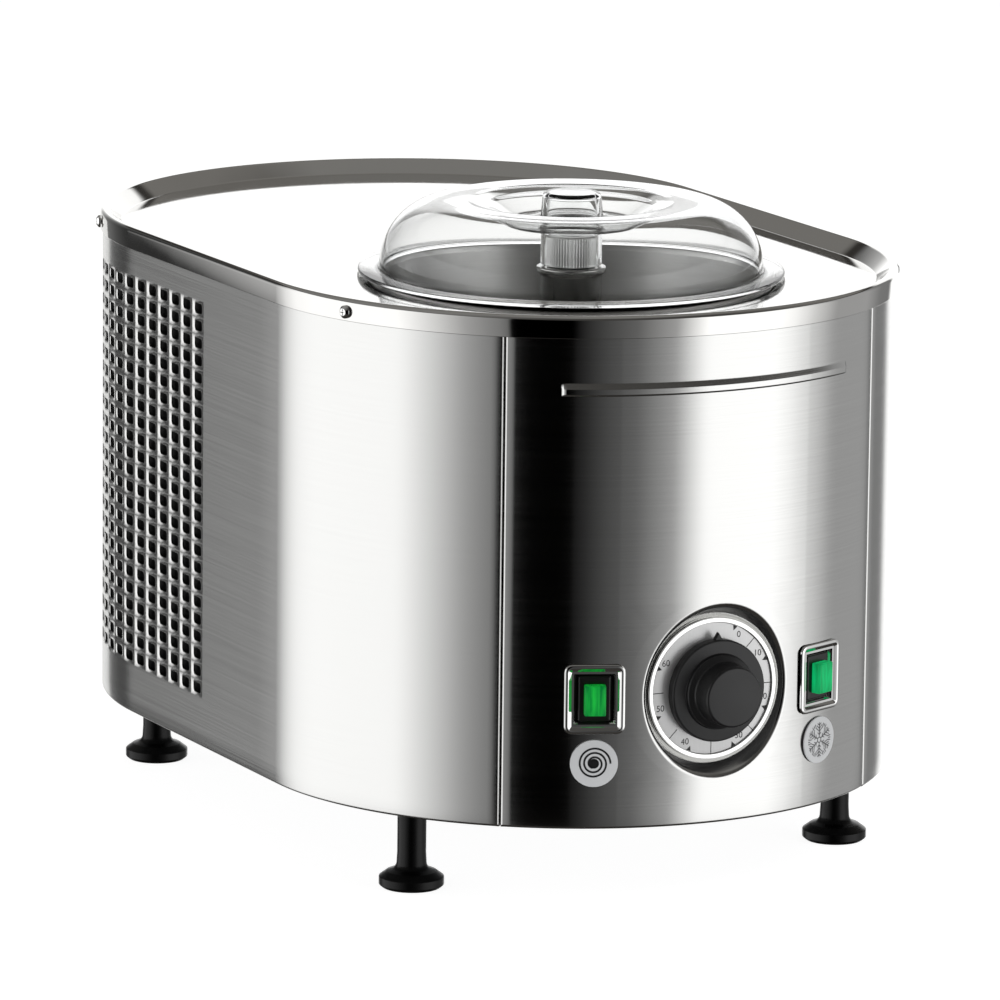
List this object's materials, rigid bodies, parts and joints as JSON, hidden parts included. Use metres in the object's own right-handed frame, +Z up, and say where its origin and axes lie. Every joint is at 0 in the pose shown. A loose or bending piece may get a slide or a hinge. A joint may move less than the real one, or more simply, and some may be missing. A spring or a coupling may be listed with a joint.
{
  "type": "countertop ice cream machine",
  "caption": "Countertop batch ice cream machine: stadium-shaped steel case on feet, churned bowl under a clear domed lid, timer dial, two lit push buttons, vented rear, compressor inside.",
  "frame": {"origin": "centre of the footprint, on the surface the feet stand on", "axes": "+Z up, the front with the dial faces -Y, +X is the machine's right-hand side as seen from the front"},
  "size_m": [0.296, 0.4696, 0.298],
  "materials": {
    "brushed_body": "brushed",
    "polished_steel": "mirror polished",
    "galvanised": "galvanised",
    "dark_steel": "polished, dark",
    "black_plastic": "satin",
    "white_plastic": "satin",
    "clear_plastic": "clear, gloss",
    "green_lens": "clear green, lit",
    "label": "printed foil",
    "foam": "rigid foam",
    "copper": "drawn tube",
    "rubber": "matt",
    "enamel": "satin",
    "aluminium": "as cast"
  },
  "bodies": {
    "case": {"body_shell": "brushed_body", "front_panel": "brushed_body", "top_cover": "polished_steel", "cover_screw_front_left": "polished_steel", "cover_screw_front_right": "polished_steel", "cover_screw_rear_left": "polished_steel", "cover_screw_rear_right": "polished_steel", "churn_bezel": "polished_steel", "chill_bezel": "polished_steel", "dial_ring": "polished_steel", "base_pan": "galvanised", "bridge_frame": "galvanised", "fan_shroud": "galvanised", "fan_bracket": "galvanised", "bowl": "dark_steel", "shaft_bearing": "dark_steel", "idler_pin": "dark_steel", "fan_motor": "dark_steel", "foot_front_left": "black_plastic", "foot_front_right": "black_plastic", "foot_rear_left": "black_plastic", "foot_rear_right": "black_plastic", "churn_switch": "black_plastic", "chill_switch": "black_plastic", "mains_inlet": "black_plastic", "timer_body": "white_plastic", "run_capacitor": "white_plastic", "terminal_block": "white_plastic", "dial_plate": "label", "churn_badge": "label", "chill_badge": "label", "bowl_insulation": "foam", "evaporator_coil": "copper", "filter_drier": "copper", "liquid_line": "copper", "suction_pipe": "copper", "discharge_pipe": "copper", "condenser_outlet": "copper", "shaft_seal": "rubber", "compressor_mount_1": "rubber", "compressor_mount_2": "rubber", "compressor_mount_3": "rubber", "motor_housing": "enamel", "compressor": "enamel", "gearbox_housing": "aluminium", "gearbox_cover": "aluminium", "condenser": "aluminium"},
    "churn": {"drive_shaft": "dark_steel", "output_gear": "white_plastic", "paddle": "dark_steel"},
    "nut": {"paddle_nut": "dark_steel"},
    "idler": {"idler_gear": "white_plastic"},
    "rotor": {"motor_rotor": "dark_steel"},
    "fan": {"fan_blade": "black_plastic"},
    "knob": {"timer_knob": "black_plastic"},
    "churn_key": {"churn_button": "black_plastic", "churn_lens": "green_lens"},
    "chill_key": {"chill_button": "black_plastic", "chill_lens": "green_lens"},
    "lid": {"lid": "clear_plastic"}
  },
  "joints": [
    {"name": "churn_spin", "type": "hinge", "parent": "case", "child": "churn", "pos_m": [0, -0.07375, 0.2], "axis": [0, 0, 1], "continuous": true},
    {"name": "nut_unscrew", "type": "hinge", "parent": "churn", "child": "nut", "pos_m": [0, -0.07375, 0.271], "axis": [0, 0, 1], "range_deg": [0, 900]},
    {"name": "idler_spin", "type": "hinge", "parent": "case", "child": "idler", "pos_m": [0, -0.03625, 0.118], "axis": [0, 0, 1], "continuous": true},
    {"name": "rotor_spin", "type": "hinge", "parent": "case", "child": "rotor", "pos_m": [0, -0.00625, 0.08], "axis": [0, 0, 1], "continuous": true},
    {"name": "fan_spin", "type": "hinge", "parent": "case", "child": "fan", "pos_m": [-0.08, 0.09565, 0.112], "axis": [1, 0, 0], "continuous": true},
    {"name": "timer_turn", "type": "hinge", "parent": "case", "child": "knob", "pos_m": [0, -0.21355, 0.097], "axis": [0, 1, 0], "range_deg": [0, 292.5]},
    {"name": "churn_press", "type": "slide", "parent": "case", "child": "churn_key", "axis": [0.3827, 0.9239, 0], "range_m": [0, 0.003], "stiffness_N_per_m": 600, "springref_m": -0.002},
    {"name": "chill_press", "type": "slide", "parent": "case", "child": "chill_key", "axis": [-0.3827, 0.9239, 0], "range_m": [0, 0.003], "stiffness_N_per_m": 600, "springref_m": -0.002},
    {"name": "lid_lift", "type": "slide", "parent": "case", "child": "lid", "axis": [0, 0, 1], "range_m": [0, 0.12]}
  ],
  "couplings": [
    {"joint": "idler_spin", "follows": "churn_spin", "ratio": -4},
    {"joint": "rotor_spin", "follows": "churn_spin", "ratio": 12}
  ]
}
